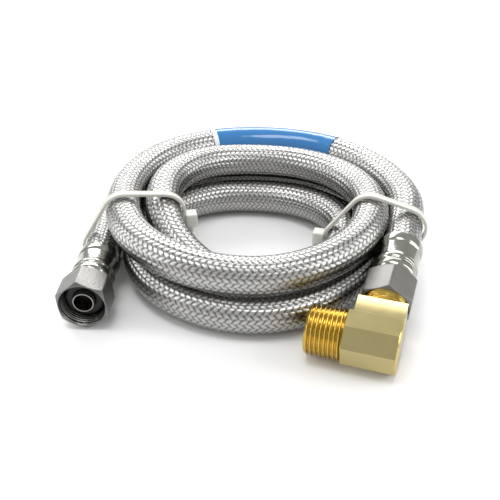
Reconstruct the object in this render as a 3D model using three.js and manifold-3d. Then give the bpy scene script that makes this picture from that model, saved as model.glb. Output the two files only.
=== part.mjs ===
// Braided stainless supply line, loosely coiled and held by two nylon ties.
// One end has a swivel compression nut, the other is screwed onto a brass elbow.
// Millimetres, +Z up, the coil lies on z = 0.
import * as THREE from "three";
import { mergeVertices } from "three/addons/utils/BufferGeometryUtils.js";
import Module from "manifold-3d";

const wasm = await Module();
wasm.setup();

// Driving dimensions
const HOSE_OD = 13; // over the braid
const SLEEVE_OD = 12; // plain solid of the braid, a little under the wires' crests
const SLEEVE_ID = 10.4;
const LINER_OD = 9.6;
const LINER_ID = 8;
const HOSE_SIDES = 10;
const HOSE_STEPS = 80;
const STATION_STEP = 45; // degrees of coil between two stations
const ROUTE_STEP = 15; // degrees of coil between two points of the route
const STRAP_LIFT = 1.7; // the ties pass under the coil and lift it this much
const NUT_FLATS = 15.9; // 5/8 in spanner
const NUT_LENGTH = 11;
const LEFT_NUT_TURN = 8; // degrees
const RIGHT_NUT_TURN = -4;
const THREAD_PITCH = 1.058; // 9/16-24 compression thread
const PIPE_PITCH = 1.411; // 3/8-18 taper pipe thread
const PIPE_RADIUS = 8.5;
const FERRULE_LENGTH = 17;

// Stations along a fitting, from the ferrule's rear rim
const NUT_BACK = FERRULE_LENGTH + 0.4;
const NUT_MOUTH = NUT_BACK + NUT_LENGTH;
const FLANGE = NUT_BACK + 2.6; // flange of the hose tail, inside the nut
const WASHER = FLANGE + 1.5;
const WASHER_END = WASHER + 2.7;
const ELBOW_FACE = WASHER_END + 0.3; // compression end of the elbow
const NECK_BACK = NUT_MOUTH + 4;
const BAR_CENTRE = NECK_BACK + 11;

const HOSE_END = 14; // the hose ends this far inside the ferrule
const BAR_FLATS = 16.8; // octagon bar of the elbow
const NECK_FLATS = 15.4;
const BAR_LEFT = 9.2; // the bar reaches this far to each side of the fitting's axis
const BAR_RIGHT = 7.8;
const PIPE_LENGTH = 11.5;
const TIE_WIDTH = 2.6;
const TIE_THICK = 1.1;
const TIE_GAP = 0.45;

// The object's box is centred on the origin by this shift of the coil's centre.
const COIL_X = 3.1;
const COIL_Y = 10.9;

// Coil stations every 45 degrees, clockwise seen from above, from the left side:
// [radius, height] of the hose's centreline.
const STATIONS = [
  [55.6, 6.6], [47.0, 6.6], [43.4, 6.6], [43.4, 6.6],
  [45.2, 6.6], [45.8, 6.6], [50.3, 6.6], [48.6, 6.6],
  [41.2, 6.6], [32.4, 6.6], [27.2, 6.6], [27.9, 6.6],
  [31.8, 6.6], [32.4, 6.6], [36.6, 6.7], [35.2, 12.0],
  [35.0, 19.0], [36.2, 19.9], [35.2, 18.5], [36.4, 18.3],
  [39.6, 18.6], [43.4, 19.6], [47.2, 19.6], [49.2, 20.1],
  [48.9, 19.0], [49.8, 20.0], [49.4, 19.6], [51.0, 18.7],
  [53.5, 17.2],
];
const COIL_DEGREES = STATION_STEP * (STATIONS.length - 1);

// Rear rim of each ferrule and the direction in which its fitting points.
const LEFT_END = new THREE.Vector3(-55.7, -21.5, 8.9);
const LEFT_AIM = new THREE.Vector3(-0.05, -1, 0.02).normalize();
const RIGHT_END = new THREE.Vector3(48.2, -26.2, 16.9);
const RIGHT_AIM = new THREE.Vector3(-0.315, -0.936, -0.183).normalize();

function cubic(a, b, c, d, t) {
  const t2 = t * t;
  const t3 = t2 * t;
  return 0.5 * (2 * b + (c - a) * t + (2 * a - 5 * b + 4 * c - d) * t2 + (3 * b - a - 3 * c + d) * t3);
}

// Centreline of the hose at an angle of the coil.
function coilPoint(degrees) {
  const last = STATIONS.length - 1;
  const cell = Math.min(Math.floor(degrees / STATION_STEP), last - 1);
  const t = degrees / STATION_STEP - cell;
  const near = [-1, 0, 1, 2].map((k) => STATIONS[Math.min(Math.max(cell + k, 0), last)]);
  const [radius, height] = [0, 1].map((k) => cubic(...near.map((s) => s[k]), t));
  const turn = THREE.MathUtils.degToRad(180 - degrees);
  const lift = STRAP_LIFT * Math.cos(turn) ** 2;
  return new THREE.Vector3(radius * Math.cos(turn), radius * Math.sin(turn), height + lift);
}

function routePoints() {
  const points = [];
  points.push(LEFT_END.clone().addScaledVector(LEFT_AIM, HOSE_END));
  points.push(LEFT_END.clone().addScaledVector(LEFT_AIM, HOSE_END / 2));
  points.push(LEFT_END.clone());
  points.push(new THREE.Vector3(-55.5, -14.4, 8.7));
  points.push(new THREE.Vector3(-55.5, -7.2, 8.5));
  for (let a = 0; a <= COIL_DEGREES; a += ROUTE_STEP) points.push(coilPoint(a));
  points.push(new THREE.Vector3(52.2, -9.6, 17.8));
  points.push(new THREE.Vector3(50.0, -18.2, 17.2));
  points.push(RIGHT_END.clone());
  points.push(RIGHT_END.clone().addScaledVector(RIGHT_AIM, HOSE_END / 2));
  points.push(RIGHT_END.clone().addScaledVector(RIGHT_AIM, HOSE_END));
  return points;
}

const route = new THREE.CatmullRomCurve3(routePoints());

const finish = {
  steel: { color: 0xb9b9b6, roughness: 0.32, metalness: 1 },
  satin: { color: 0x8d8c89, roughness: 0.5, metalness: 1 },
  rubber: { color: 0x2b2c2e, roughness: 0.7, metalness: 0 },
  brass: { color: 0xc9b25c, roughness: 0.3, metalness: 1 },
  film: { color: 0x2a7bc4, roughness: 0.25, metalness: 0 },
  nylon: { color: 0xe9e9df, roughness: 0.45, metalness: 0 },
};

function part(name, geometry, look) {
  const made = new THREE.Mesh(geometry, new THREE.MeshStandardMaterial(look));
  made.name = name;
  return made;
}

function toSolid(geometry) {
  const bare = geometry.clone();
  bare.deleteAttribute("normal");
  bare.deleteAttribute("uv");
  const merged = mergeVertices(bare, 1e-4);
  return new wasm.Manifold(
    new wasm.Mesh({
      numProp: 3,
      vertProperties: new Float32Array(merged.attributes.position.array),
      triVerts: new Uint32Array(merged.index.array),
    }),
  );
}

function toGeometry(solid) {
  const { vertProperties, triVerts } = solid.getMesh();
  const geometry = new THREE.BufferGeometry();
  geometry.setAttribute("position", new THREE.BufferAttribute(vertProperties, 3));
  geometry.setIndex(new THREE.BufferAttribute(triVerts, 1));
  return geometry;
}

// A turned piece: [radius, station] pairs of a closed outline, along +Z.
function turned(outline, sides = 24) {
  const points = outline.map(([radius, station]) => new THREE.Vector2(radius, station));
  points.push(points[0].clone());
  return new THREE.LatheGeometry(points, sides).rotateX(Math.PI / 2);
}

// Ridges of a thread, as rings: [radius, station] pairs from one station to another.
function threadRidges(from, to, pitch, crest, root) {
  const count = Math.floor(Math.abs(to - from) / pitch);
  const step = Math.sign(to - from) * pitch;
  const ridges = [];
  for (let i = 0; i < count; i++) {
    ridges.push([root, from + i * step]);
    ridges.push([crest, from + (i + 0.5) * step]);
  }
  ridges.push([root, from + count * step]);
  return ridges;
}

// A bar with regular flats from one station to another, along +Z.
function bar(flats, sides, from, to) {
  const corner = flats / 2 / Math.cos(Math.PI / sides);
  const geometry = new THREE.CylinderGeometry(corner, corner, to - from, sides);
  return geometry
    .rotateY(Math.PI / sides)
    .rotateX(Math.PI / 2)
    .translate(0, 0, (from + to) / 2);
}

function hoseLayer(outer, inner) {
  const ring = new THREE.Shape().absarc(0, 0, outer / 2, 0, 2 * Math.PI);
  ring.holes.push(new THREE.Path().absarc(0, 0, inner / 2, 0, 2 * Math.PI, true));
  return new THREE.ExtrudeGeometry(ring, {
    extrudePath: route,
    steps: HOSE_STEPS,
    curveSegments: HOSE_SIDES / 2,
  });
}

function ferrule() {
  return turned([
    [6.6, 0], [7.2, 0], [7.4, 0.5], [7.4, 3.4], [6.95, 4.2], [6.95, 9.8], [7.35, 10.6], [7.4, 11.2],
    [7.35, 11.8], [7, 12.4], [7, 13], [7.35, 13.6], [7.35, 15], [6.6, 16.4], [5.4, FERRULE_LENGTH],
    [4.4, FERRULE_LENGTH], [4.4, 15.4], [6.6, 14.6],
  ]);
}

// Hose tail: barbs inside the liner, a flange that the nut pulls on and a nose.
function hoseTail() {
  const barbs = [];
  for (let s = 1; s < 12; s += 3) barbs.push([3.3, s], [3.55, s + 2.4], [3.55, s + 2.7]);
  const nose = WASHER_END + 2.3;
  return turned([
    [2.6, 1], ...barbs, [3.3, 14.2], [4, 14.4], [4, FLANGE - 0.4], [6.5, FLANGE], [6.5, FLANGE + 1.2],
    [3.55, FLANGE + 1.2], [3.55, nose - 0.2], [3.4, nose], [3.1, nose], [3.1, 15], [2.6, 14.6],
  ]);
}

function coneWasher() {
  return turned([
    [3.85, WASHER], [6.3, WASHER], [6.3, WASHER + 1.4], [5.7, WASHER_END], [3.85, WASHER_END],
  ]);
}

// Hexagon nut with a corner pointing up, turned a little from there about its axis.
function couplingNut(turnDegrees) {
  const hexagon = bar(NUT_FLATS, 6, NUT_BACK, NUT_MOUTH);
  hexagon.rotateZ(THREE.MathUtils.degToRad(30 + turnDegrees));
  const chamfer = toSolid(
    turned([
      [0, NUT_BACK - 0.1], [7.9, NUT_BACK - 0.1], [9.4, NUT_BACK + 0.9], [9.4, NUT_MOUTH - 0.9],
      [7.9, NUT_MOUTH + 0.1], [0, NUT_MOUTH + 0.1],
    ], 36),
  );
  const wall = NUT_BACK + 2.1;
  const thread = threadRidges(wall + 2, NUT_MOUTH - 0.8, THREAD_PITCH, 7.25, 7);
  const bore = toSolid(
    turned([
      [0, NUT_BACK - 1], [4.5, NUT_BACK - 1], [4.5, wall], [7.1, wall], [7.1, wall + 1.8], ...thread,
      [7.6, NUT_MOUTH + 0.1], [7.6, NUT_MOUTH + 1], [0, NUT_MOUTH + 1],
    ]),
  );
  return toGeometry(toSolid(hexagon).intersect(chamfer).subtract(bore));
}

// Elbow on the fitting's own stations: compression thread, square neck and octagon bar,
// with the pipe thread leaving the bar to the left.
function brassElbow() {
  const collar = toSolid(
    turned([
      [0, ELBOW_FACE], [6.2, ELBOW_FACE], [6.6, ELBOW_FACE + 0.5],
      ...threadRidges(ELBOW_FACE + 0.6, NECK_BACK - 0.4, THREAD_PITCH, 6.72, 6.4),
      [6.9, NECK_BACK + 0.2], [6.9, NECK_BACK + 2], [0, NECK_BACK + 2],
    ]),
  );
  const neck = toSolid(bar(NECK_FLATS, 4, NECK_BACK, BAR_CENTRE));
  const across = (geometry) => geometry.rotateY(Math.PI / 2).translate(0, 0, BAR_CENTRE);
  const body = toSolid(across(bar(BAR_FLATS, 8, -BAR_LEFT, BAR_RIGHT)));
  const tip = -BAR_LEFT - PIPE_LENGTH;
  const pipe = toSolid(
    across(
      turned([
        [0, tip], [7.1, tip], [7.5, tip + 0.5],
        ...threadRidges(tip + 0.5, -BAR_LEFT - 0.2, PIPE_PITCH, PIPE_RADIUS, PIPE_RADIUS - 0.75).map(
          ([radius, station], i) => [radius - Math.max(0, 0.5 - 0.12 * i), station],
        ),
        [7.6, -BAR_LEFT + 1], [0, -BAR_LEFT + 1],
      ], 28),
    ),
  );
  const inletBore = toSolid(
    turned([
      [0, ELBOW_FACE - 1], [6.1, ELBOW_FACE - 1], [6.1, ELBOW_FACE], [4.4, ELBOW_FACE + 1.8],
      [4.4, BAR_CENTRE], [0, BAR_CENTRE],
    ]),
  );
  const outletBore = toSolid(across(turned([[0, tip - 1], [5.2, tip - 1], [5.2, 3.6], [0, 3.6]])));
  return toGeometry(
    collar.add(neck).add(body).add(pipe).subtract(inletBore).subtract(outletBore),
  );
}

function fittingGroup(end, aim) {
  const group = new THREE.Group();
  const level = new THREE.Vector3(0, 0, 1).cross(aim).normalize();
  const up = aim.clone().cross(level);
  group.quaternion.setFromRotationMatrix(new THREE.Matrix4().makeBasis(level, up, aim));
  group.position.copy(end);
  return group;
}

// A film band wrapped once round the hose, over a stretch of the coil.
const LABEL_FROM = 1147;
const LABEL_TO = 1208;
const LABEL_INNER = 6.42;
const LABEL_OUTER = 6.62;
function labelBand() {
  const points = [];
  for (let i = 0; i <= 10; i++) points.push(coilPoint(LABEL_FROM + ((LABEL_TO - LABEL_FROM) * i) / 10));
  const ring = new THREE.Shape().absarc(0, 0, LABEL_OUTER, 0, 2 * Math.PI);
  ring.holes.push(new THREE.Path().absarc(0, 0, LABEL_INNER, 0, 2 * Math.PI, true));
  return new THREE.ExtrudeGeometry(ring, {
    extrudePath: new THREE.CatmullRomCurve3(points),
    steps: 10,
    curveSegments: 8,
  });
}

function hull(points) {
  const sorted = [...points].sort((p, q) => p.x - q.x || p.y - q.y);
  const turnOf = (o, p, q) => (p.x - o.x) * (q.y - o.y) - (p.y - o.y) * (q.x - o.x);
  const half = (list) => {
    const chain = [];
    for (const p of list) {
      while (chain.length > 1 && turnOf(chain.at(-2), chain.at(-1), p) <= 1e-6) chain.pop();
      chain.push(p);
    }
    chain.pop();
    return chain;
  };
  return [...half(sorted), ...half(sorted.reverse())];
}

// A cable tie round the strands that cross its upright plane. The plane passes
// through a point of the floor and runs along a level direction.
function cableTie(start, along, reach, headAt) {
  const across = new THREE.Vector3(0, 0, 1).cross(along).normalize();
  const crossings = [];
  const samples = route.getSpacedPoints(1200);
  for (let i = 1; i < samples.length; i++) {
    const a = samples[i - 1].clone().sub(start);
    const b = samples[i].clone().sub(start);
    const [da, db] = [a.dot(across), b.dot(across)];
    if (da * db > 0 || a.dot(along) < 0 || a.dot(along) > reach) continue;
    const at = a.lerp(b, da / (da - db));
    crossings.push(new THREE.Vector2(at.dot(along), at.z));
  }
  const outlineAt = (radius) => {
    const points = [];
    for (const c of crossings)
      for (let k = 0; k < 24; k++) {
        const turn = (k * Math.PI) / 12;
        const x = c.x + radius * Math.cos(turn);
        points.push(new THREE.Vector2(x, c.y + radius * Math.sin(turn)));
      }
    return hull(points);
  };
  const inner = HOSE_OD / 2 + TIE_GAP;
  const loop = new THREE.Shape(outlineAt(inner + TIE_THICK));
  loop.holes.push(new THREE.Path(outlineAt(inner)));
  const strap = new THREE.ExtrudeGeometry(loop, { depth: TIE_WIDTH, bevelEnabled: false });
  strap.translate(0, 0, -TIE_WIDTH / 2);
  const head = new THREE.BoxGeometry(headAt.wide, headAt.tall, 4.6);
  head.rotateZ(headAt.lean).translate(headAt.x, headAt.y, 0);
  const tail = new THREE.BoxGeometry(1.1, headAt.tail, 2.4);
  tail.translate(0, -headAt.tail / 2 - headAt.tall / 2 + 0.2, 0);
  tail.rotateZ(headAt.lean).translate(headAt.x, headAt.y, 0);
  const geometry = toGeometry(toSolid(strap).add(toSolid(head)).add(toSolid(tail)));
  const place = new THREE.Matrix4().makeBasis(along, new THREE.Vector3(0, 0, 1), across.clone().negate());
  return geometry.applyMatrix4(place.setPosition(start));
}

const coil = new THREE.Group();
coil.position.set(COIL_X, COIL_Y, 0);
coil.add(part("braided_sleeve", hoseLayer(SLEEVE_OD, SLEEVE_ID), finish.steel));
coil.add(part("inner_tube", hoseLayer(LINER_OD, LINER_ID), finish.rubber));
coil.add(part("label_band", labelBand(), finish.film));

const left = fittingGroup(LEFT_END, LEFT_AIM);
left.add(part("left_ferrule", ferrule(), finish.steel));
left.add(part("left_hose_tail", hoseTail(), finish.steel));
left.add(part("left_cone_washer", coneWasher(), finish.rubber));
left.add(part("left_coupling_nut", couplingNut(LEFT_NUT_TURN), finish.steel));
coil.add(left);

const right = fittingGroup(RIGHT_END, RIGHT_AIM);
right.add(part("right_ferrule", ferrule(), finish.steel));
right.add(part("right_hose_tail", hoseTail(), finish.steel));
right.add(part("right_cone_washer", coneWasher(), finish.rubber));
right.add(part("right_coupling_nut", couplingNut(RIGHT_NUT_TURN), finish.satin));
right.add(part("brass_elbow", brassElbow(), finish.brass));
coil.add(right);

// Each tie lies in an upright plane through the coil's axis.
const LEFT_TIE_START = new THREE.Vector3(-72, -14.8, 0);
const LEFT_TIE_ALONG = LEFT_TIE_START.clone().negate().normalize();
const LEFT_TIE_HEAD = { x: 48.4, y: 15.5, wide: 4.2, tall: 5.2, lean: 0, tail: 3 };
const RIGHT_TIE_START = new THREE.Vector3(19, -5.1, 0);
const RIGHT_TIE_ALONG = RIGHT_TIE_START.clone().normalize();
const RIGHT_TIE_HEAD = { x: 3.1, y: 8.2, wide: 4.2, tall: 5.2, lean: 0, tail: 1 };
const TIE_REACH = 60;
const leftTie = cableTie(LEFT_TIE_START, LEFT_TIE_ALONG, TIE_REACH, LEFT_TIE_HEAD);
const rightTie = cableTie(RIGHT_TIE_START, RIGHT_TIE_ALONG, TIE_REACH, RIGHT_TIE_HEAD);
coil.add(part("left_cable_tie", leftTie, finish.nylon));
coil.add(part("right_cable_tie", rightTie, finish.nylon));

const root = new THREE.Group();
root.add(coil);
export default root;
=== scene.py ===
import math

import bmesh
import bpy
from mathutils import Matrix, Vector


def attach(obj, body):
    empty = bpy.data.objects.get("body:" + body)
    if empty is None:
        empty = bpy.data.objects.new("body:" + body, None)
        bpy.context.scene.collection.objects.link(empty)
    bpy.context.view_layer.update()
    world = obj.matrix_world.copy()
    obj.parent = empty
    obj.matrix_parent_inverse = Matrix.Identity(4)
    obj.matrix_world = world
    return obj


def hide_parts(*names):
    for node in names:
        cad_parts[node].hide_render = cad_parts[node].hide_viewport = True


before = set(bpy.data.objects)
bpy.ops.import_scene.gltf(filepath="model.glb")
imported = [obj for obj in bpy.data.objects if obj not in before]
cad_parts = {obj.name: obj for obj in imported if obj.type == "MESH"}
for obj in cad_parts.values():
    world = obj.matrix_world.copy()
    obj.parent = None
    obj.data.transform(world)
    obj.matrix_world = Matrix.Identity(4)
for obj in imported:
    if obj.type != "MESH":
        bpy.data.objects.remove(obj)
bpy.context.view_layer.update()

# Camera. It looks down on the coil from in front, with the two fittings nearest.
MM = 0.001
VIEW_FROM = Vector((-0.15, -243.2, 164.8)) * MM
VIEW_AT = Vector((-0.15, 8.6, 0)) * MM
LENS = 57.6  # mm, on the 36 mm wide sensor
camera = bpy.data.objects.new("camera", bpy.data.cameras.new("camera"))
camera.data.lens = LENS
camera.data.sensor_width = 36
camera.data.clip_start = 0.01
camera.location = VIEW_FROM
camera.rotation_euler = (VIEW_AT - VIEW_FROM).to_track_quat("-Z", "Y").to_euler()
bpy.context.scene.collection.objects.link(camera)
bpy.context.scene.camera = camera


# Floor and lights. A flat white floor under one long soft box behind the coil, a small
# one overhead and one at each side, with even light from the room.
FLOOR_HALF = 3.0
FLOOR_WHITE = (0.93, 0.93, 0.93)
ROOM_LIGHT = 0.66


def new_object(name, mesh):
    made = bpy.data.objects.new(name, mesh)
    bpy.context.scene.collection.objects.link(made)
    return made


def new_finish(name, colour, metallic, roughness):
    finish = bpy.data.materials.new(name)
    finish.use_nodes = True
    shader = finish.node_tree.nodes["Principled BSDF"]
    shader.inputs["Base Color"].default_value = (*colour, 1)
    shader.inputs["Metallic"].default_value = metallic
    shader.inputs["Roughness"].default_value = roughness
    return finish, finish.node_tree, shader


def object_place(tree):
    return tree.nodes.new("ShaderNodeTexCoord").outputs["Object"]


def chart_place(tree):
    chart = tree.nodes.new("ShaderNodeUVMap")
    chart.uv_map = "UVMap"
    return chart.outputs["UV"]


def add_noise(tree, place, scale, detail=2):
    noise = tree.nodes.new("ShaderNodeTexNoise")
    noise.inputs["Scale"].default_value = scale
    noise.inputs["Detail"].default_value = detail
    tree.links.new(place, noise.inputs["Vector"])
    return noise.outputs["Fac"]


def add_bump(tree, shader, height, strength, depth):
    """Raises the surface by a height socket; depth is in metres."""
    bump = tree.nodes.new("ShaderNodeBump")
    bump.inputs["Strength"].default_value = strength
    bump.inputs["Distance"].default_value = depth
    tree.links.new(height, bump.inputs["Height"])
    tree.links.new(bump.outputs["Normal"], shader.inputs["Normal"])


def soft_box(name, place, aim, size, watts):
    light = bpy.data.lights.new(name, "AREA")
    light.shape = "RECTANGLE"
    light.size, light.size_y = size
    light.energy = watts
    box = bpy.data.objects.new(name, light)
    box.location = place
    box.rotation_euler = (Vector(aim) - Vector(place)).to_track_quat("-Z", "Y").to_euler()
    bpy.context.scene.collection.objects.link(box)


floor_mesh = bpy.data.meshes.new("floor")
corners = [(-1, -1), (1, -1), (1, 1), (-1, 1)]
floor_mesh.from_pydata([(x * FLOOR_HALF, y * FLOOR_HALF, 0) for x, y in corners], [], [(0, 1, 2, 3)])
floor = new_object("floor", floor_mesh)
floor_finish, _, floor_shader = new_finish("white_floor", FLOOR_WHITE, 0, 0.55)
floor_shader.inputs["Specular IOR Level"].default_value = 0.2
floor.data.materials.append(floor_finish)
soft_box("back_box", (-0.1, 0.95, 0.62), (0, 0, 0), (1.5, 0.42), 12)
soft_box("top_box", (-0.15, -0.15, 1.15), (0, 0, 0), (0.7, 0.35), 4.4)
soft_box("right_box", (0.9, -0.1, 0.45), (0, 0, 0.02), (0.35, 0.9), 4.2)
soft_box("left_box", (-0.95, 0.0, 0.4), (0, 0, 0.02), (0.3, 0.8), 3)
room = bpy.data.worlds.new("room")
room.use_nodes = True
room.node_tree.nodes["Background"].inputs["Color"].default_value = (1, 1, 1, 1)
room.node_tree.nodes["Background"].inputs["Strength"].default_value = ROOM_LIGHT
bpy.context.scene.world = room
bpy.context.scene.view_settings.view_transform = "Standard"


# Hose route. One length of hose wound clockwise into three and a half turns, lower
# turns first, with both ends pointing forwards. Stations every 45 degrees from the
# left side give the centreline's radius and height in mm.
COIL_CENTRE = Vector((3.1, 10.9, 0)) * MM
STATION_STEP = 45
ROUTE_STEP = 15
STRAP_LIFT = 1.7
STATIONS = [
    (55.6, 6.6), (47.0, 6.6), (43.4, 6.6), (43.4, 6.6),
    (45.2, 6.6), (45.8, 6.6), (50.3, 6.6), (48.6, 6.6),
    (41.2, 6.6), (32.4, 6.6), (27.2, 6.6), (27.9, 6.6),
    (31.8, 6.6), (32.4, 6.6), (36.6, 6.7), (35.2, 12.0),
    (35.0, 19.0), (36.2, 19.9), (35.2, 18.5), (36.4, 18.3),
    (39.6, 18.6), (43.4, 19.6), (47.2, 19.6), (49.2, 20.1),
    (48.9, 19.0), (49.8, 20.0), (49.4, 19.6), (51.0, 18.7),
    (53.5, 17.2),
]
COIL_DEGREES = STATION_STEP * (len(STATIONS) - 1)
LEFT_END = Vector((-55.7, -21.5, 8.9)) * MM + COIL_CENTRE
LEFT_AIM = Vector((-0.05, -1, 0.02)).normalized()
RIGHT_END = Vector((48.2, -26.2, 16.9)) * MM + COIL_CENTRE
RIGHT_AIM = Vector((-0.315, -0.936, -0.183)).normalized()
LEFT_LEAD = [(-55.5, -14.4, 8.7), (-55.5, -7.2, 8.5)]
RIGHT_LEAD = [(52.2, -9.6, 17.8), (50.0, -18.2, 17.2)]
HOSE_DIAMETER = 13 * MM
HOSE_IN_FERRULE = 14 * MM


def station_mix(values, t):
    a, b, c, d = values
    return 0.5 * (2 * b + (c - a) * t + (2 * a - 5 * b + 4 * c - d) * t**2 + (3 * b - a - 3 * c + d) * t**3)


def coil_point(degrees):
    last = len(STATIONS) - 1
    cell = min(int(degrees // STATION_STEP), last - 1)
    t = degrees / STATION_STEP - cell
    near = [STATIONS[min(max(cell + k, 0), last)] for k in (-1, 0, 1, 2)]
    radius, height = (station_mix([s[i] for s in near], t) for i in (0, 1))
    turn = math.radians(180 - degrees)
    lift = STRAP_LIFT * math.cos(turn) ** 2
    return Vector((radius * math.cos(turn), radius * math.sin(turn), height + lift)) * MM + COIL_CENTRE


def route_points():
    """From 14 mm inside the left ferrule to 14 mm inside the right one."""
    depths = (HOSE_IN_FERRULE, HOSE_IN_FERRULE / 2, 0)
    points = [LEFT_END + LEFT_AIM * depth for depth in depths]
    points += [Vector(p) * MM + COIL_CENTRE for p in LEFT_LEAD]
    points += [coil_point(a) for a in range(0, COIL_DEGREES + 1, ROUTE_STEP)]
    points += [Vector(p) * MM + COIL_CENTRE for p in RIGHT_LEAD]
    points += [RIGHT_END + RIGHT_AIM * depth for depth in reversed(depths)]
    return points


def smooth_line(points, steps):
    """Centripetal spline through the points, steps samples to each stretch."""
    ends = [points[0] * 2 - points[1], *points, points[-1] * 2 - points[-2]]
    line = []
    for p0, p1, p2, p3 in zip(ends, ends[1:], ends[2:], ends[3:]):
        d0, d1, d2 = ((b - a).length ** 0.5 for a, b in ((p0, p1), (p1, p2), (p2, p3)))
        m1 = ((p1 - p0) / d0 - (p2 - p0) / (d0 + d1) + (p2 - p1) / d1) * d1
        m2 = ((p2 - p1) / d1 - (p3 - p1) / (d1 + d2) + (p3 - p2) / d2) * d1
        for k in range(steps):
            t = k / steps
            line.append(
                p1 * (2 * t**3 - 3 * t**2 + 1) + m1 * (t**3 - 2 * t**2 + t)
                + p2 * (3 * t**2 - 2 * t**3) + m2 * (t**3 - t**2)
            )
    line.append(points[-1].copy())
    return line


ROUTE = smooth_line(route_points(), 12)
HOSE_LENGTH = sum((b - a).length for a, b in zip(ROUTE, ROUTE[1:]))


def path_curve(name, line):
    curve = bpy.data.curves.new(name, "CURVE")
    curve.dimensions = "3D"
    spline = curve.splines.new("POLY")
    spline.points.add(len(line) - 1)
    for point, place in zip(spline.points, line):
        point.co = (*place, 1)
    return new_object(name, curve)


# Inner tube. Black rubber extruded as one length, it carries the water and shows
# only as dark specks between the carriers of the braid.
TUBE_RADIUS = 5.82 * MM
TUBE_BORE = 4.0 * MM
TUBE_STEPS = 620


class Nodes:
    """A geometry node tree with one input of geometry and named number inputs."""

    def __init__(self, name, numbers):
        self.tree = bpy.data.node_groups.new(name, "GeometryNodeTree")
        self.tree.is_modifier = True
        face = self.tree.interface
        face.new_socket("Route", in_out="INPUT", socket_type="NodeSocketGeometry")
        for label, (kind, value) in numbers.items():
            socket = face.new_socket(label, in_out="INPUT", socket_type="NodeSocket" + kind)
            if value is not None:
                socket.default_value = value
        face.new_socket("Made", in_out="OUTPUT", socket_type="NodeSocketGeometry")
        self.given = self.tree.nodes.new("NodeGroupInput").outputs
        self.result = self.tree.nodes.new("NodeGroupOutput").inputs["Made"]

    def join(self, source, target):
        if hasattr(source, "is_output"):
            self.tree.links.new(source, target)
        else:
            target.default_value = source

    def add(self, kind, settings=(), **sockets):
        node = self.tree.nodes.new(kind)
        for key, value in dict(settings).items():
            setattr(node, key, value)
        for key, value in sockets.items():
            self.join(value, node.inputs[key.replace("_", " ")])
        return node

    def sum(self, operation, *values):
        node = self.tree.nodes.new("ShaderNodeMath")
        node.operation = operation
        for value, socket in zip(values, node.inputs):
            self.join(value, socket)
        return node.outputs[0]

    def vector(self, operation, a, b):
        node = self.tree.nodes.new("ShaderNodeVectorMath")
        node.operation = operation
        self.join(a, node.inputs[0])
        self.join(b, node.inputs["Scale"] if operation == "SCALE" else node.inputs[1])
        return node.outputs[0]

    def apply(self, name, route, values):
        """Runs the tree on a route and gives the result as a plain mesh object."""
        carrier = route.modifiers.new(name, "NODES")
        carrier.node_group = self.tree
        for item in self.tree.interface.items_tree:
            if item.in_out == "INPUT" and item.name in values:
                carrier[item.identifier] = values[item.name]
        graph = bpy.context.evaluated_depsgraph_get()
        mesh = bpy.data.meshes.new_from_object(route.evaluated_get(graph))
        mesh.name = name
        route.modifiers.remove(carrier)
        return new_object(name, mesh)


def tube_nodes():
    n = Nodes("rubber_tube", {
        "Radius": ("Float", 0.006), "Bore": ("Float", 0.004),
        "Steps": ("Int", 100), "Rubber": ("Material", None),
    })
    line = n.add("GeometryNodeResampleCurve", Curve=n.given["Route"], Count=n.given["Steps"])
    skins = []
    for radius in ("Radius", "Bore"):
        size = n.given[radius]
        ring = n.add("GeometryNodeCurvePrimitiveCircle", {"mode": "RADIUS"}, Resolution=24, Radius=size)
        skin = n.add("GeometryNodeCurveToMesh", Curve=line.outputs[0], Profile_Curve=ring.outputs[0])
        skins.append(skin.outputs[0])
    turned_in = n.add("GeometryNodeFlipFaces", Mesh=skins[1])
    both = n.tree.nodes.new("GeometryNodeJoinGeometry")
    n.join(turned_in.outputs[0], both.inputs[0])
    n.join(skins[0], both.inputs[0])
    smooth = n.add("GeometryNodeSetShadeSmooth", Geometry=both.outputs[0])
    real = n.add("GeometryNodeRealizeInstances", Geometry=smooth.outputs[0])
    coated = n.add("GeometryNodeSetMaterial", Geometry=real.outputs[0], Material=n.given["Rubber"])
    n.join(coated.outputs[0], n.result)
    return n


def rubber_finish():
    finish, tree, shader = new_finish("black_rubber", (0.018, 0.018, 0.02), 0, 0.6)
    add_bump(tree, shader, add_noise(tree, object_place(tree), 1800), 0.3, 0.00005)
    return finish


rubber = rubber_finish()
hose_line = path_curve("hose_line", ROUTE)
tube = tube_nodes().apply("rubber_inner_tube", hose_line, {
    "Radius": TUBE_RADIUS, "Bore": TUBE_BORE, "Steps": TUBE_STEPS, "Rubber": rubber,
})
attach(tube, "hose")
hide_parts("inner_tube")


# Braid. Twelve carriers wound each way over the tube, every carrier a flat band of
# fine stainless wires side by side, passing over one carrier and under the next.
BRAID_RADIUS = 6.17 * MM
CARRIERS = 12
LAY = 25.2 * MM  # hose length for one turn of a carrier
BAND_WIDTH = 1.74 * MM
BAND_CRIMP = 0.14 * MM
BAND_CROWN = 0.085 * MM
BAND_WIRES = 7
BAND_ROWS = 4  # points across a band
SAMPLES_PER_WAVE = 5
WAVES_PER_TURN = CARRIERS  # over one and under one
# Near black at a band's edges: painted shade in the gaps between bands, with some oxide.
GAP_SHADE_AND_OXIDE_GREY = (0.02, 0.02, 0.019, 1)
BAND_SHADE_GREYS = {0.14: 0.38, 0.5: 0.54, 0.86: 0.38}  # share of the way across a band, and its grey; the darkening towards the edges is painted shade in the gaps between bands, with some oxide
UNDER_SHADE = 0.25  # painted shade: how dark a band is where it dips under another


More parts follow.
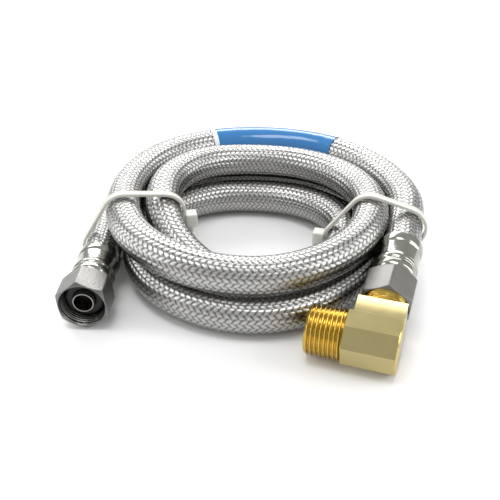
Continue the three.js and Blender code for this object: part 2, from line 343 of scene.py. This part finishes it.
def braid_nodes():
    n = Nodes("braid_of_carriers", {
        "Radius": ("Float", 0.006), "Carriers": ("Int", 12), "Turns": ("Float", 10.0),
        "Band width": ("Float", 0.002), "Crimp": ("Float", 0.0002), "Crown": ("Float", 0.0001),
        "Waves": ("Float", 6.0), "Phase": ("Float", 0.0), "Samples": ("Int", 100), "Wire": ("Material", None),
    })
    length = n.add("GeometryNodeCurveLength", Curve=n.given["Route"]).outputs[0]
    band = n.add(
        "GeometryNodeMeshGrid", Size_X=1.0, Size_Y=1.0, Vertices_X=n.given["Samples"], Vertices_Y=BAND_ROWS,
    )
    spots = n.add("GeometryNodePoints", Count=n.given["Carriers"])
    copies = n.add("GeometryNodeInstanceOnPoints", Points=spots.outputs[0], Instance=band.outputs["Mesh"])
    index = n.add("GeometryNodeInputIndex").outputs[0]
    numbered = n.add(
        "GeometryNodeStoreNamedAttribute", {"data_type": "FLOAT", "domain": "INSTANCE"},
        Geometry=copies.outputs[0], Name="carrier", Value=index,
    )
    real = n.add("GeometryNodeRealizeInstances", Geometry=numbered.outputs[0])
    carrier = n.add("GeometryNodeInputNamedAttribute", {"data_type": "FLOAT"}, Name="carrier").outputs[0]
    at = n.add("ShaderNodeSeparateXYZ", Vector=n.add("GeometryNodeInputPosition").outputs[0])
    along = n.sum("ADD", at.outputs["X"], 0.5)
    side = at.outputs["Y"]
    turns_per_metre = n.sum("DIVIDE", n.given["Turns"], length)
    slope = n.sum("MULTIPLY", n.sum("MULTIPLY", turns_per_metre, n.given["Radius"]), math.tau)
    slant = n.sum("SQRT", n.sum("ADD", n.sum("MULTIPLY", slope, slope), 1.0))
    reach = n.sum("DIVIDE", n.sum("MULTIPLY", side, n.given["Band width"]), slant)
    back = n.sum("MULTIPLY", reach, slope)
    travel = n.sum("SUBTRACT", n.sum("MULTIPLY", along, length), back)
    share = n.sum("DIVIDE", carrier, n.given["Carriers"])
    laps = n.sum("ADD", share, n.sum("MULTIPLY", along, n.given["Turns"]))
    turn = n.sum("ADD", n.sum("MULTIPLY", laps, math.tau), n.sum("DIVIDE", reach, n.given["Radius"]))
    swing = n.sum("ADD", n.sum("MULTIPLY", turn, n.given["Waves"]), n.given["Phase"])
    over = n.sum("TANH", n.sum("MULTIPLY", n.sum("COSINE", swing), 1.6))
    lift = n.sum("MULTIPLY", over, n.given["Crimp"])
    edge = n.sum("SUBTRACT", 1.0, n.sum("MULTIPLY", n.sum("MULTIPLY", side, side), 4.0))
    swell = n.sum("MULTIPLY", edge, n.given["Crown"])
    radius = n.sum("ADD", n.given["Radius"], n.sum("ADD", lift, swell))
    spot = n.add(
        "GeometryNodeSampleCurve", {"mode": "LENGTH", "use_all_curves": True},
        Curves=n.given["Route"], Length=travel,
    )
    sideways = n.vector("CROSS_PRODUCT", spot.outputs["Tangent"], spot.outputs["Normal"])
    outward = n.vector(
        "ADD", n.vector("SCALE", spot.outputs["Normal"], n.sum("COSINE", turn)),
        n.vector("SCALE", sideways, n.sum("SINE", turn)),
    )
    goal = n.vector("ADD", spot.outputs["Position"], n.vector("SCALE", outward, radius))
    chart = n.add("ShaderNodeCombineXYZ", X=along, Y=n.sum("ADD", side, 0.5))
    mapped = n.add(
        "GeometryNodeStoreNamedAttribute", {"data_type": "FLOAT2", "domain": "CORNER"},
        Geometry=real.outputs[0], Name="UVMap", Value=chart.outputs[0],
    )
    tinted = n.add(
        "GeometryNodeStoreNamedAttribute", {"data_type": "FLOAT", "domain": "POINT"},
        Geometry=mapped.outputs[0], Name="height", Value=over,
    )
    moved = n.add("GeometryNodeSetPosition", Geometry=tinted.outputs[0], Position=goal)
    smooth = n.add("GeometryNodeSetShadeSmooth", Geometry=moved.outputs[0])
    coated = n.add("GeometryNodeSetMaterial", Geometry=smooth.outputs[0], Material=n.given["Wire"])
    n.join(coated.outputs[0], n.result)
    return n


def wire_finish():
    """Bright wires side by side, with painted shade and some oxide at a band's edges and painted shade where
    the band dips.
    """
    wire, tree, shader = new_finish("drawn_steel_wire", (0.66, 0.66, 0.65), 1, 0.2)
    split = tree.nodes.new("ShaderNodeSeparateXYZ")
    tree.links.new(chart_place(tree), split.inputs["Vector"])
    across = split.outputs["Y"]
    for operation, factor in (("MULTIPLY", BAND_WIRES * math.pi), ("SINE", None), ("ABSOLUTE", None)):
        step = tree.nodes.new("ShaderNodeMath")
        step.operation = operation
        if factor:
            step.inputs[1].default_value = factor
        tree.links.new(across, step.inputs[0])
        across = step.outputs[0]
    add_bump(tree, shader, across, 0.4, 0.00008)
    # Painted shade and some oxide: each band darkens from its middle to near black at its edges.
    ramp = tree.nodes.new("ShaderNodeValToRGB")
    stops = ramp.color_ramp.elements
    for stop, position in zip(stops, (0, 1)):
        stop.position = position
        stop.color = GAP_SHADE_AND_OXIDE_GREY
    for position, grey in BAND_SHADE_GREYS.items():
        stops.new(position).color = (grey, grey * 0.99, grey * 0.96, 1)
    tree.links.new(split.outputs["Y"], ramp.inputs["Fac"])
    # Painted shade where a band dips under the crossing band, from the stored crimp height.
    level = tree.nodes.new("ShaderNodeAttribute")
    level.attribute_name = "height"
    dip_shade = tree.nodes.new("ShaderNodeMapRange")
    for socket, value in {"From Min": -0.9, "From Max": 0.5, "To Min": UNDER_SHADE, "To Max": 1.0}.items():
        dip_shade.inputs[socket].default_value = value
    tree.links.new(level.outputs["Fac"], dip_shade.inputs["Value"])
    shade = tree.nodes.new("ShaderNodeMix")
    shade.data_type = "RGBA"
    shade.blend_type = "MULTIPLY"
    shade.inputs["Factor"].default_value = 1
    tree.links.new(ramp.outputs["Color"], shade.inputs["A"])
    tree.links.new(dip_shade.outputs["Result"], shade.inputs["B"])
    tree.links.new(shade.outputs["Result"], shader.inputs["Base Color"])
    return wire


TURNS = HOSE_LENGTH / LAY
steel_wire = wire_finish()
braid_maker = braid_nodes()
for name, turns, phase in (("braid_right_lay", TURNS, 0.0), ("braid_left_lay", -TURNS, math.pi)):
    lay = braid_maker.apply(name, hose_line, {
        "Radius": BRAID_RADIUS, "Carriers": CARRIERS, "Turns": turns, "Band width": BAND_WIDTH,
        "Crimp": BAND_CRIMP, "Crown": BAND_CROWN, "Waves": float(WAVES_PER_TURN),
        "Phase": phase,
        "Samples": int(TURNS * WAVES_PER_TURN * SAMPLES_PER_WAVE), "Wire": steel_wire,
    })
    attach(lay, "hose")
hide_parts("braided_sleeve")
bpy.data.objects.remove(hose_line)


# Fittings' frame: +Z along the fitting, +X level, +Y up, counted from the ferrule's
# rear rim in mm.
def fitting_frame(end, aim):
    level = Vector((0, 0, 1)).cross(aim).normalized()
    up = aim.cross(level)
    frame_of = Matrix((level, up, aim)).transposed().to_4x4()
    return Matrix.Translation(end) @ frame_of @ Matrix.Scale(MM, 4)


ENDS = {"left": fitting_frame(LEFT_END, LEFT_AIM), "right": fitting_frame(RIGHT_END, RIGHT_AIM)}


def eased(outline, radius, bits=3):
    """The closed outline with each corner rounded off."""
    soft = []
    points = [Vector(p) for p in outline]
    for i, corner in enumerate(points):
        to_last = points[i - 1] - corner
        to_next = points[(i + 1) % len(points)] - corner
        cut = min(radius, 0.42 * to_last.length, 0.42 * to_next.length)
        a = corner + to_last.normalized() * cut
        b = corner + to_next.normalized() * cut
        for k in range(bits + 1):
            t = k / bits
            soft.append(a * (1 - t) ** 2 + corner * (2 * t * (1 - t)) + b * t**2)
    return soft


def ring_mesh(name, rings, place):
    """A closed skin over rings of points; the last ring joins the first."""
    count = len(rings[0])
    points = [place @ Vector(p) for ring in rings for p in ring]
    faces = []
    for i in range(len(rings)):
        a, b = i * count, (i + 1) % len(rings) * count
        faces += [(a + j, a + (j + 1) % count, b + (j + 1) % count, b + j) for j in range(count)]
    mesh = bpy.data.meshes.new(name)
    mesh.from_pydata(points, [], faces)
    shell = bmesh.new()
    shell.from_mesh(mesh)
    bmesh.ops.recalc_face_normals(shell, faces=shell.faces)
    shell.to_mesh(mesh)
    shell.free()
    mesh.shade_smooth()
    mesh.set_sharp_from_angle(angle=math.radians(35))
    return mesh


def turned(name, outline, place, sides=96):
    rings = []
    for radius, station in outline:
        turns = (math.tau * j / sides for j in range(sides))
        rings.append([(radius * math.cos(t), radius * math.sin(t), station) for t in turns])
    return ring_mesh(name, rings, place)


def worn_metal(name, colour, roughness, grain_size, grain_depth, blotch):
    """Metal with fine grain in its surface and slow changes in tone and polish."""
    finish, tree, shader = new_finish(name, colour, 1, roughness)
    place = object_place(tree)
    add_bump(tree, shader, add_noise(tree, place, 1 / grain_size, 4), 0.5, grain_depth)
    slow = add_noise(tree, place, 260, 3)
    polish = tree.nodes.new("ShaderNodeMapRange")
    polish.inputs["To Min"].default_value = roughness * (1 - blotch)
    polish.inputs["To Max"].default_value = roughness * (1 + blotch)
    tree.links.new(slow, polish.inputs["Value"])
    tree.links.new(polish.outputs["Result"], shader.inputs["Roughness"])
    tone = tree.nodes.new("ShaderNodeMix")
    tone.data_type = "RGBA"
    tone.inputs["A"].default_value = (*(c * (1 - blotch * 0.5) for c in colour), 1)
    tone.inputs["B"].default_value = (*(min(1, c * (1 + blotch * 0.3)) for c in colour), 1)
    tree.links.new(slow, tone.inputs["Factor"])
    tree.links.new(tone.outputs["Result"], shader.inputs["Base Color"])
    return finish


# Ferrules. Drawn stainless cups pushed over the braid and crimped in two bands onto
# the hose tail inside; the rear rim is flared so that it doesn't cut the wires.
FERRULE_LENGTH = 17
FERRULE = [
    (6.62, 0), (7.1, -0.05), (7.38, 0.35), (7.42, 1.8), (7.36, 3.3), (6.98, 4.2), (6.92, 7), (6.98, 9.8),
    (7.35, 10.6), (7.4, 11.2), (7.35, 11.8), (6.98, 12.4), (6.98, 13), (7.35, 13.6), (7.35, 15), (6.9, 16),
    (6.1, 16.7), (5.2, FERRULE_LENGTH), (4.4, FERRULE_LENGTH), (4.4, 15.4), (6.62, 14.4),
]
ferrule_steel = worn_metal("polished_ferrule_steel", (0.34, 0.34, 0.305), 0.17, 0.0006, 0.00003, 0.3)
for side, place in ENDS.items():
    ferrule_skin = turned(side + "_ferrule_skin", eased(FERRULE, 0.3), place)
    ferrule = new_object(side + "_crimped_ferrule", ferrule_skin)
    ferrule.data.materials.append(ferrule_steel)
    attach(ferrule, "hose")
    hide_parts(side + "_ferrule")


# Hose tails. Turned steel tubes barbed into the hose; the flange behind the cone
# washer holds the nut on, and the nose enters the mating fitting.
NUT_BACK = FERRULE_LENGTH + 0.4
NUT_MOUTH = NUT_BACK + 11
FLANGE = NUT_BACK + 2.6
WASHER = FLANGE + 1.5
WASHER_END = WASHER + 2.7
NOSE = WASHER_END + 2.3
tail_outline = [(2.6, 1)]
for barb in (1, 4, 7, 10):
    tail_outline += [(3.3, barb), (3.55, barb + 2.4), (3.55, barb + 2.7)]
tail_outline += [
    (3.3, 14.2), (4, 14.4), (4, FLANGE - 0.4), (6.5, FLANGE), (6.5, FLANGE + 1.2), (3.55, FLANGE + 1.2),
    (3.55, NOSE - 0.2), (3.4, NOSE), (3.1, NOSE), (3.1, 15), (2.6, 14.6),
]
tail_steel = worn_metal("turned_tail_steel", (0.36, 0.34, 0.32), 0.25, 0.0005, 0.00004, 0.3)
for side, place in ENDS.items():
    tail = new_object(side + "_barbed_tail", turned(side + "_tail_skin", eased(tail_outline, 0.12), place))
    tail.data.materials.append(tail_steel)
    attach(tail, "hose")
    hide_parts(side + "_hose_tail")


# Cone washers. Moulded black rubber seals that the nut squeezes against the bevel of
# the mating fitting; the right one goes with the elbow's seat.
CONE = [(3.75, WASHER), (6.6, WASHER), (6.6, WASHER + 1.5), (5.9, WASHER_END), (3.75, WASHER_END)]
for side, place in ENDS.items():
    washer = new_object(side + "_rubber_cone", turned(side + "_washer_skin", eased(CONE, 0.35), place))
    washer.data.materials.append(rubber)
    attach(washer, "hose" if side == "left" else "elbow_seat")
    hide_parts(side + "_cone_washer")


# Coupling nuts. Cut from hexagon bar, 15.9 mm across flats, chamfered at both ends,
# with a fine thread inside. The free one is coarse grained and the other one satin.
NUT_FLATS = 15.9
NUT_TURN = {"left": 8, "right": -4}  # degrees from a corner pointing straight up
NUT_THREAD = 1.058
NUT_SIDES = 180
NUT_HOLE = 4.5  # radius of the hole that the tail passes through
NUT_WALL = 2.1
NUT_BORE = 7.28  # radius at the roots of the thread
NUT_THREAD_DEPTH = 0.28
NUT_CHAMFER_SLOPE = 1.5


def flats_radius(turn, flats, sides, softness):
    """Distance to a regular bar's surface; the corners are slightly rounded."""
    face = math.tau / sides
    lean = (turn + face / 2) % face - face / 2
    plain = flats / 2 / math.cos(lean)
    corner = flats / 2 / math.cos(face / 2)
    return min(plain, corner - softness)


def smooth_min(a, b, blend):
    h = max(blend - abs(a - b), 0) / blend
    return min(a, b) - h * h * blend * 0.25


def thread_wave(turn, station, pitch):
    """0 at the bottom of the groove and 1 on the crest of a right-handed thread."""
    phase = (station / pitch - turn / math.tau) % 1.0
    return 0.5 - 0.5 * math.cos(math.tau * phase)


def unit(value):
    return min(1.0, max(0.0, value))


def nut_bore(turn, station):
    fade = unit((NUT_MOUTH - 0.9 - station) / 0.8) * unit((station - NUT_BACK - 4) / 0.8)
    wall = NUT_BORE - NUT_THREAD_DEPTH * fade * thread_wave(turn, station, NUT_THREAD)
    if station > NUT_MOUTH - 0.9:
        wall = max(wall, 7.6 - max(0.0, NUT_MOUTH - station - 0.15) * 0.55)
    return wall


def spaced(low, high, step):
    count = max(1, round((high - low) / step))
    return [low + (high - low) * i / count for i in range(count + 1)]


def nut_rings(turned_by):
    turns = [math.tau * j / NUT_SIDES for j in range(NUT_SIDES)]

    def outer(turn, station):
        hexagon = flats_radius(turn - math.radians(turned_by), NUT_FLATS, 6, 0.1)
        back = 7.9 + (station - NUT_BACK) * NUT_CHAMFER_SLOPE
        mouth = 7.8 + (NUT_MOUTH - station) * NUT_CHAMFER_SLOPE
        return smooth_min(smooth_min(hexagon, back, 0.12), mouth, 0.12)

    def ring(radius_at, station):
        sizes = [radius_at if isinstance(radius_at, float) else radius_at(t, station) for t in turns]
        return [(r * math.cos(t), r * math.sin(t), station) for r, t in zip(sizes, turns)]

    rings = [ring(NUT_HOLE, NUT_BACK + 0.1), ring(NUT_HOLE + 0.1, NUT_BACK), ring(7.5, NUT_BACK)]
    stations = spaced(NUT_BACK + 0.05, NUT_BACK + 1.2, 0.11)
    stations += spaced(NUT_BACK + 1.4, NUT_MOUTH - 1.4, 1.4)
    stations += spaced(NUT_MOUTH - 1.2, NUT_MOUTH - 0.02, 0.11)
    rings += [ring(outer, s) for s in stations]
    rings += [ring(7.74, NUT_MOUTH), ring(7.64, NUT_MOUTH)]
    rings += [ring(nut_bore, s) for s in reversed(spaced(NUT_BACK + 4, NUT_MOUTH - 0.05, 0.12))]
    inner_wall = NUT_BACK + NUT_WALL
    rings += [ring(NUT_BORE, inner_wall + 0.2), ring(7.2, inner_wall), ring(NUT_HOLE, inner_wall)]
    return rings


# Name, colour, roughness, grain size and depth in metres, and how blotchy it is.
nut_finishes = {
    "left": ("grained_bright_nut", (0.21, 0.207, 0.198), 0.34, 0.0007, 0.0003, 0.3),
    "right": ("satin_nut", (0.2, 0.196, 0.186), 0.42, 0.00025, 0.00005, 0.15),
}
for side, place in ENDS.items():
    nut = new_object(side + "_hexagon_nut", ring_mesh(side + "_nut_skin", nut_rings(NUT_TURN[side]), place))
    nut.data.materials.append(worn_metal(*nut_finishes[side]))
    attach(nut, "free_nut" if side == "left" else "elbow_nut")
    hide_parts(side + "_coupling_nut")


# Elbow. Brass bar of octagon section, drilled from two sides; the pipe end has a
# taper thread and the other a fine thread that enters the nut.
BAR_FLATS = 16.8
NECK_FLATS = 15.4
NECK_BACK = NUT_MOUTH + 4
BAR_CENTRE = NECK_BACK + 11
BAR_LEFT = 9.2
BAR_RIGHT = 7.8
PIPE_LENGTH = 11.5
PIPE_RADIUS = 8.5
PIPE_PITCH = 1.411
PIPE_TAPER = 1 / 32
PIPE_GROOVE = 0.85
COLLAR_RADIUS = 6.95
COLLAR_GROOVE = 0.55
THREAD_SIDES = 120
INLET_RADIUS = 4.4
OUTLET_RADIUS = 5.2
OUTLET_END = 3.6  # past the bar's centre, towards its closed end
ELBOW_FACE = WASHER_END + 0.3


def prism(flats, sides, low, high, chamfer, to_place):
    """A closed bar of regular section with its end edges chamfered."""
    corner = flats / 2 / math.cos(math.pi / sides)
    turns = [math.pi / sides + k * math.tau / sides for k in range(sides)]
    outline = [
        (0, low), (corner - chamfer, low), (corner, low + chamfer), (corner, high - chamfer),
        (corner - chamfer, high), (0, high),
    ]
    rows = [[(r * math.cos(t), r * math.sin(t), s) for t in turns] for r, s in outline]
    return solid_of_rows(rows, to_place)


def solid_of_rows(rows, to_place):
    """A closed solid over rings, with its first and last rings drawn to a point."""
    count = len(rows[0])
    mesh = bpy.data.meshes.new("solid")
    points = [Vector(rows[0][0])] + [Vector(p) for row in rows[1:-1] for p in row] + [Vector(rows[-1][0])]
    last = len(points) - 1
    faces = [(0, 1 + (j + 1) % count, 1 + j) for j in range(count)]
    for i in range(len(rows) - 3):
        a, b = 1 + i * count, 1 + (i + 1) * count
        faces += [(a + j, a + (j + 1) % count, b + (j + 1) % count, b + j) for j in range(count)]
    a = 1 + (len(rows) - 3) * count
    faces += [(a + j, a + (j + 1) % count, last) for j in range(count)]
    mesh.from_pydata([to_place @ p for p in points], [], faces)
    shell = bmesh.new()
    shell.from_mesh(mesh)
    bmesh.ops.recalc_face_normals(shell, faces=shell.faces)
    shell.to_mesh(mesh)
    shell.free()
    return new_object("solid", mesh)


def threaded_rows(face, base, pitch, radius_at, depth, step):
    """Rings of a right-handed outside thread, from its bevelled end face to its base."""
    turns = [math.tau * j / THREAD_SIDES for j in range(THREAD_SIDES)]
    tip = radius_at(face) - 1.2
    rows = [[(0, 0, face)] * THREAD_SIDES, [(tip * math.cos(t), tip * math.sin(t), face) for t in turns]]
    for s in spaced(face + 0.01, base, step):
        start = unit((s - face - 0.25) / 0.9)
        end = unit((base - 0.3 - s) / 0.5)
        bevel = max(0.0, 0.75 - (s - face)) * 0.9
        row = []
        for t in turns:
            groove = depth * (1 - thread_wave(t, s, pitch)) * min(1, start + 0.4) * end
            r = radius_at(s) - max(bevel, groove + depth * (1 - end) * 0.8)
            row.append((r * math.cos(t), r * math.sin(t), s))
        rows.append(row)
    rows.append([(0, 0, base)] * THREAD_SIDES)
    return rows


def join_solids(first, others, operation):
    for other in others:
        cut = first.modifiers.new("joint", "BOOLEAN")
        cut.object = other
        cut.operation = operation
        cut.solver = "EXACT"
        graph = bpy.context.evaluated_depsgraph_get()
        mesh = bpy.data.meshes.new_from_object(first.evaluated_get(graph))
        first.modifiers.remove(cut)
        first.data = mesh
        bpy.data.objects.remove(other)


def drill(radius, low, high, to_place, sides=64):
    turns = [math.tau * j / sides for j in range(sides)]
    rim = [(radius * math.cos(t), radius * math.sin(t)) for t in turns]
    low_rim, high_rim = ([(x, y, s) for x, y in rim] for s in (low, high))
    return solid_of_rows([[(0, 0, low)] * sides, low_rim, high_rim, [(0, 0, high)] * sides], to_place)


def pipe_radius(station):
    return PIPE_RADIUS - max(0, -BAR_LEFT - station) * PIPE_TAPER


ALONG = ENDS["right"]
# The bar lies across the fitting: its own +Z points to the closed right end.
ACROSS = ALONG @ Matrix.Translation((0, 0, BAR_CENTRE)) @ Matrix.Rotation(math.pi / 2, 4, "Y")
bar = prism(BAR_FLATS, 8, -BAR_LEFT, BAR_RIGHT, 0.3, ACROSS)
neck = prism(NECK_FLATS, 4, NECK_BACK, BAR_CENTRE, 0.3, ALONG)
pipe_tip = -BAR_LEFT - PIPE_LENGTH
pipe_rows = threaded_rows(pipe_tip, -BAR_LEFT + 0.6, PIPE_PITCH, pipe_radius, PIPE_GROOVE, PIPE_PITCH / 14)
pipe = solid_of_rows(pipe_rows, ACROSS)
collar_rows = threaded_rows(
    ELBOW_FACE, NECK_BACK + 0.5, NUT_THREAD, lambda station: COLLAR_RADIUS, COLLAR_GROOVE, 0.1)
collar = solid_of_rows(collar_rows, ALONG)
join_solids(bar, [neck], "UNION")
join_solids(bar, [pipe, collar], "UNION")
inlet = drill(INLET_RADIUS, ELBOW_FACE - 1, BAR_CENTRE, ALONG)
outlet = drill(OUTLET_RADIUS, pipe_tip - 1, OUTLET_END, ACROSS)
join_solids(bar, [inlet, outlet], "DIFFERENCE")
elbow = bar
elbow.name = "brass_elbow_body"
elbow.data.shade_smooth()
elbow.data.set_sharp_from_angle(angle=math.radians(40))
# Threads and other cut faces are bright gold; the bar's drawn flats are paler and grained.
DRAWN_FACE = 3e-6  # square metres: only the bar's own flats are this large
elbow.data.materials.clear()
cut_brass = worn_metal("cut_brass", (0.60, 0.43, 0.11), 0.2, 0.0006, 0.00001, 0.1)
drawn_brass = worn_metal("drawn_brass", (0.48, 0.405, 0.195), 0.3, 0.0003, 0.00004, 0.12)
elbow.data.materials.append(cut_brass)
elbow.data.materials.append(drawn_brass)
for face in elbow.data.polygons:
    face.material_index = 1 if face.area > DRAWN_FACE else 0
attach(elbow, "elbow")
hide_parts("brass_elbow")


# Label. One strip of glossy blue film wrapped round the hose near the back and lapped
# on itself underneath; it carries only a plain white edge at one end.
LABEL_FROM = 1147
LABEL_TO = 1208
LABEL_RADIUS = 6.56 * MM
LABEL_LAP = 0.28  # radians of overlap
LABEL_SIDES = 72
LABEL_THICK = 0.05 * MM
LABEL_BLUE = (0.025, 0.175, 0.44)
LABEL_EDGE = 0.035  # share of the label's length that is white


def label_skin():
    line = smooth_line([coil_point(a) for a in spaced(LABEL_FROM, LABEL_TO, 5)], 8)
    steps = len(line)
    points, faces, chart = [], [], []
    for i, centre in enumerate(line):
        ahead = (line[min(i + 1, steps - 1)] - line[max(i - 1, 0)]).normalized()
        level = Vector((0, 0, 1)).cross(ahead).normalized()
        up = ahead.cross(level)
        for j in range(LABEL_SIDES + 1):
            share = j / LABEL_SIDES
            turn = -math.pi / 2 - LABEL_LAP / 2 + share * (math.tau + LABEL_LAP)
            radius = LABEL_RADIUS + LABEL_THICK * share
            points.append(centre + (level * math.cos(turn) + up * math.sin(turn)) * radius)
    for i in range(steps - 1):
        for j in range(LABEL_SIDES):
            a = i * (LABEL_SIDES + 1) + j
            faces.append((a, a + 1, a + LABEL_SIDES + 2, a + LABEL_SIDES + 1))
            ends = ((i, j), (i, j + 1), (i + 1, j + 1), (i + 1, j))
            chart += [(along / (steps - 1), round_it / LABEL_SIDES) for along, round_it in ends]
    mesh = bpy.data.meshes.new("label_skin")
    mesh.from_pydata(points, [], faces)
    uv = mesh.uv_layers.new(name="UVMap")
    for item, at in zip(uv.data, chart):
        item.uv = at
    mesh.shade_smooth()
    length = sum((b - a).length for a, b in zip(line, line[1:]))
    return mesh, length


def film_finish():
    """Glossy creased film, white at the label's first end."""
    film, tree, shader = new_finish("blue_film", LABEL_BLUE, 0, 0.16)
    shader.inputs["Coat Weight"].default_value = 0.4
    shader.inputs["Coat Roughness"].default_value = 0.08
    chart = chart_place(tree)
    split = tree.nodes.new("ShaderNodeSeparateXYZ")
    tree.links.new(chart, split.inputs["Vector"])
    ends = tree.nodes.new("ShaderNodeValToRGB")
    stops = ends.color_ramp
    stops.interpolation = "CONSTANT"
    stops.elements[0].color = (0.85, 0.88, 0.9, 1)
    stops.elements[1].position = LABEL_EDGE
    stops.elements[1].color = (*LABEL_BLUE, 1)
    tree.links.new(split.outputs["X"], ends.inputs["Fac"])
    tree.links.new(ends.outputs["Color"], shader.inputs["Base Color"])
    creases = tree.nodes.new("ShaderNodeTexNoise")
    creases.noise_type = "RIDGED_MULTIFRACTAL"
    creases.inputs["Scale"].default_value = 1.0
    spread = tree.nodes.new("ShaderNodeMapping")
    spread.inputs["Scale"].default_value = (9, 5, 1)
    tree.links.new(chart, spread.inputs["Vector"])
    tree.links.new(spread.outputs["Vector"], creases.inputs["Vector"])
    add_bump(tree, shader, creases.outputs["Fac"], 0.6, 0.0004)
    return film


label_mesh, label_length = label_skin()
label = new_object("wrapped_label", label_mesh)
label.data.materials.append(film_finish())
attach(label, "hose")
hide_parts("label_band")


# Cable ties. Natural nylon mouldings: the strap runs once round the strands of the
# coil and back into its own square head, which locks it.
TIE_WIDTH = 2.6
TIE_THICK = 1.1
TIE_RAIL = 0.56  # width of the rail along each edge of the strap
TIE_BED = 0.18  # depth of the bed between the rails
TIE_INNER = HOSE_DIAMETER / MM / 2 + 0.45
HEAD_SIZE = (4.2, 5.2, 4.6)
TAIL_THICK = 1.1
TAIL_WIDTH = 2.4
TIES = {
    "left": {"start": (-72, -14.8), "inward": True, "head": (48.4, 15.5), "tail": 3.0},
    "right": {"start": (19, -5.1), "inward": False, "head": (3.1, 8.2), "tail": 1.0},
}
TIE_REACH = 60
TIE_STEPS = 160
TIE_SPACING = 0.8  # between rings on the straight stretches


def tie_plane(tie):
    start = Vector((*tie["start"], 0))
    along = (-start if tie["inward"] else start).normalized()
    across = Vector((0, 0, 1)).cross(along).normalized()
    return start, along, across


def tie_crossings(tie):
    start, along, across = tie_plane(tie)
    line = [(p - COIL_CENTRE) / MM - start for p in ROUTE]
    found = []
    for a, b in zip(line, line[1:]):
        da, db = a.dot(across), b.dot(across)
        if da * db <= 0 and 0 < a.dot(along) < TIE_REACH:
            at = a.lerp(b, da / (da - db))
            found.append(Vector((at.dot(along), at.z)))
    return found


def tie_outline(crossings):
    """Pairs of a strand's centre and the way out from it, round the whole bundle."""
    pairs = []
    for k in range(TIE_STEPS):
        turn = math.tau * k / TIE_STEPS
        out = Vector((math.cos(turn), math.sin(turn)))
        centre = max(crossings, key=lambda c: c.dot(out))
        if pairs and (pairs[-1][0] - centre).length > 0.01:
            gap = centre - pairs[-1][0]
            edge = Vector((gap.y, -gap.x)).normalized()
            edge = edge if edge.dot(out) > 0 else -edge
            near = pairs[-1][0]
            bits = max(1, int(gap.length / TIE_SPACING))
            pairs += [(near.lerp(centre, b / bits), edge) for b in range(bits + 1)]
        pairs.append((centre, out))
    return pairs


def tie_mesh(name, tie):
    start, along, across = tie_plane(tie)
    crossings = tie_crossings(tie)
    half = TIE_WIDTH / 2
    # Section from the inside out: two rails with a plain bed sunk between them.
    bed = TIE_THICK - TIE_BED
    rail_top, rail_foot = half - TIE_RAIL + 0.06, half - TIE_RAIL - 0.06
    section = eased([
        (0, -half), (TIE_THICK, -half), (TIE_THICK, -rail_top), (bed, -rail_foot),
        (bed, rail_foot), (TIE_THICK, rail_top), (TIE_THICK, half), (0, half),
    ], 0.14)
    rings = []
    for centre, out in tie_outline(crossings):
        ring = []
        for depth, wide in section:
            spot = centre + out * (TIE_INNER + depth)
            ring.append(start + along * spot.x + Vector((0, 0, 1)) * spot.y + across * wide)
        rings.append(ring)
    to_row = Matrix.Translation(COIL_CENTRE) @ Matrix.Scale(MM, 4)
    return ring_mesh(name, rings, to_row)


def nylon_finish():
    nylon, tree, shader = new_finish("natural_nylon", (0.66, 0.66, 0.61), 0, 0.38)
    shader.inputs["Subsurface Weight"].default_value = 0.35
    shader.inputs["Subsurface Radius"].default_value = (0.002, 0.0018, 0.0014)
    shader.inputs["Subsurface Scale"].default_value = 0.5
    add_bump(tree, shader, add_noise(tree, object_place(tree), 700), 0.25, 0.00006)
    return nylon


def tie_block(size, at, tie, bevel):
    """A rounded block standing in the tie's plane, sizes along, up and across."""
    start, along, across = tie_plane(tie)
    block = bmesh.new()
    bmesh.ops.create_cube(block, size=1)
    bmesh.ops.scale(block, vec=size, verts=block.verts)
    bmesh.ops.bevel(block, geom=block.edges[:], offset=bevel, segments=3, affect="EDGES", profile=0.5)
    turn = Matrix((along, Vector((0, 0, 1)), -across)).transposed().to_4x4()
    to_row = Matrix.Translation(COIL_CENTRE) @ Matrix.Scale(MM, 4) @ Matrix.Translation(start) @ turn
    bmesh.ops.transform(block, matrix=to_row @ Matrix.Translation((*at, 0)), verts=block.verts)
    mesh = bpy.data.meshes.new("tie_block")
    block.to_mesh(mesh)
    block.free()
    mesh.shade_smooth()
    return new_object("tie_block", mesh)


nylon = nylon_finish()
for side, tie in TIES.items():
    strap = new_object(side + "_tie_strap", tie_mesh(side + "_strap_skin", tie))
    x, y = tie["head"]
    head = tie_block(HEAD_SIZE, (x, y), tie, 0.45)
    below = (x, y - tie["tail"] / 2 - 2.4)
    strap_end = tie_block((TAIL_THICK, tie["tail"], TAIL_WIDTH), below, tie, 0.2)
    join_solids(strap, [head, strap_end], "UNION")
    strap.data.shade_smooth()
    strap.data.set_sharp_from_angle(angle=math.radians(40))
    strap.data.materials.clear()
    strap.data.materials.append(nylon)
    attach(strap, "hose")
    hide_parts(side + "_cable_tie")
